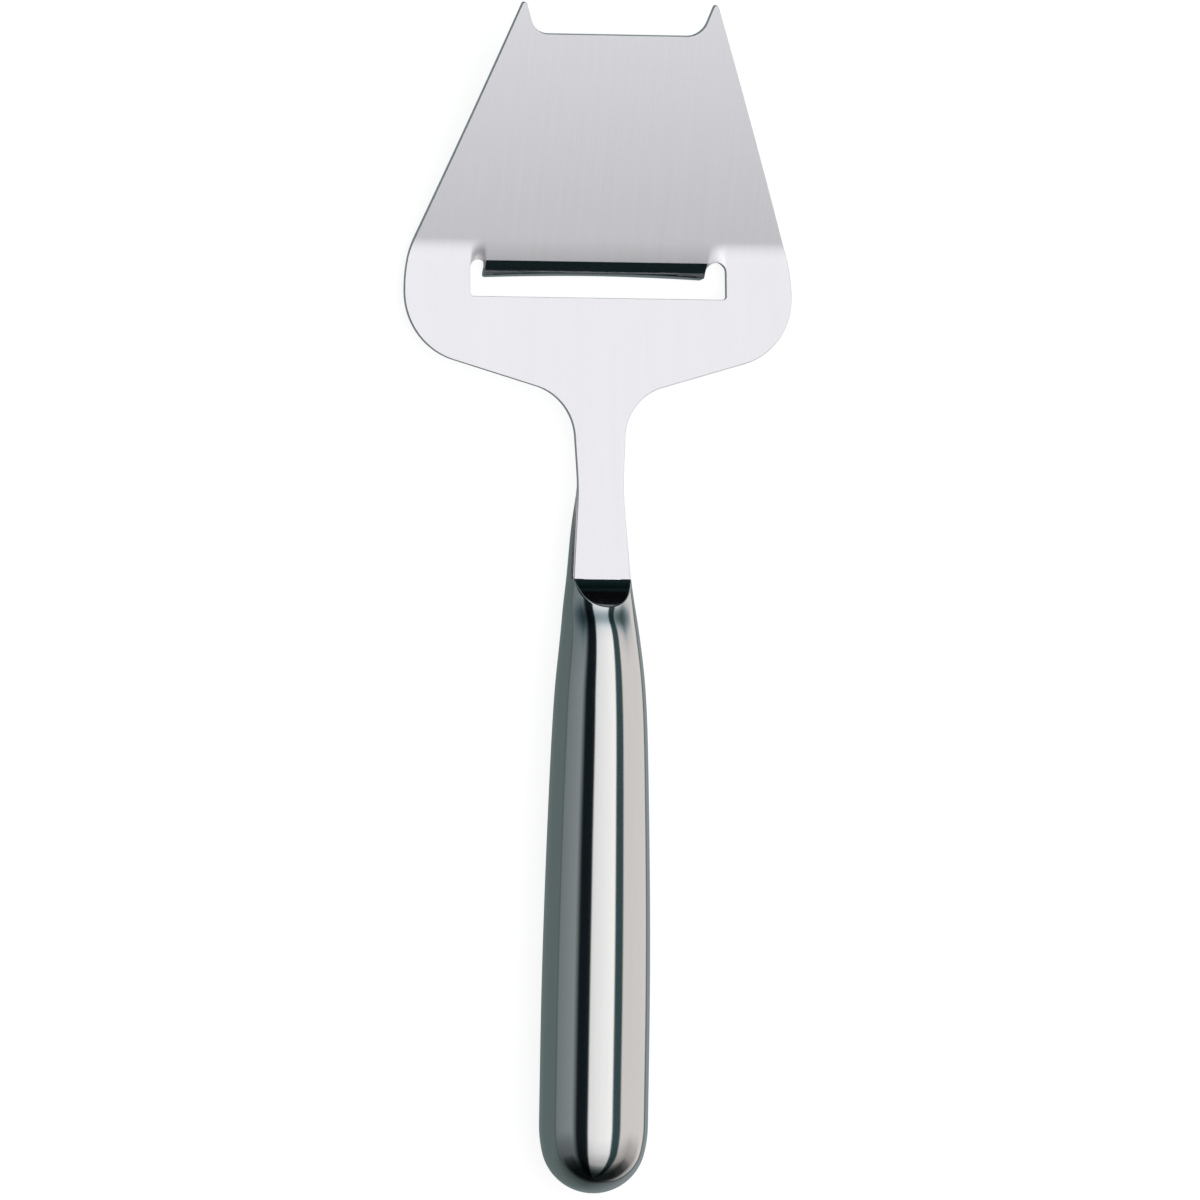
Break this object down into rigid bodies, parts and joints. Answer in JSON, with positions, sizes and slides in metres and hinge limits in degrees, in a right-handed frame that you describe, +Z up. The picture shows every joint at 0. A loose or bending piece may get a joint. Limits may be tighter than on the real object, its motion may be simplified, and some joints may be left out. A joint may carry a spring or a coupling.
{
  "type": "cheese slicer",
  "caption": "Steel cheese slicer: a stamped, bent blade with a pressed-down cutting lip across its slot and corner prongs, on a hollow polished handle.",
  "frame": {"origin": "centre of the bounding box in plan, on the table that the handle's belly and the cutting lip lie on", "axes": "+X across the blade, +Y from the handle's round end to the prongs, +Z up from the table, top face of the blade upward"},
  "size_m": [0.0816, 0.24, 0.022],
  "materials": {
    "blade_steel": "fine lengthwise brushing",
    "handle_steel": "mirror polished stainless steel"
  },
  "bodies": {
    "root": {"blade": "blade_steel", "handle_upper_shell": "handle_steel", "handle_lower_shell": "handle_steel"}
  },
  "joints": []
}
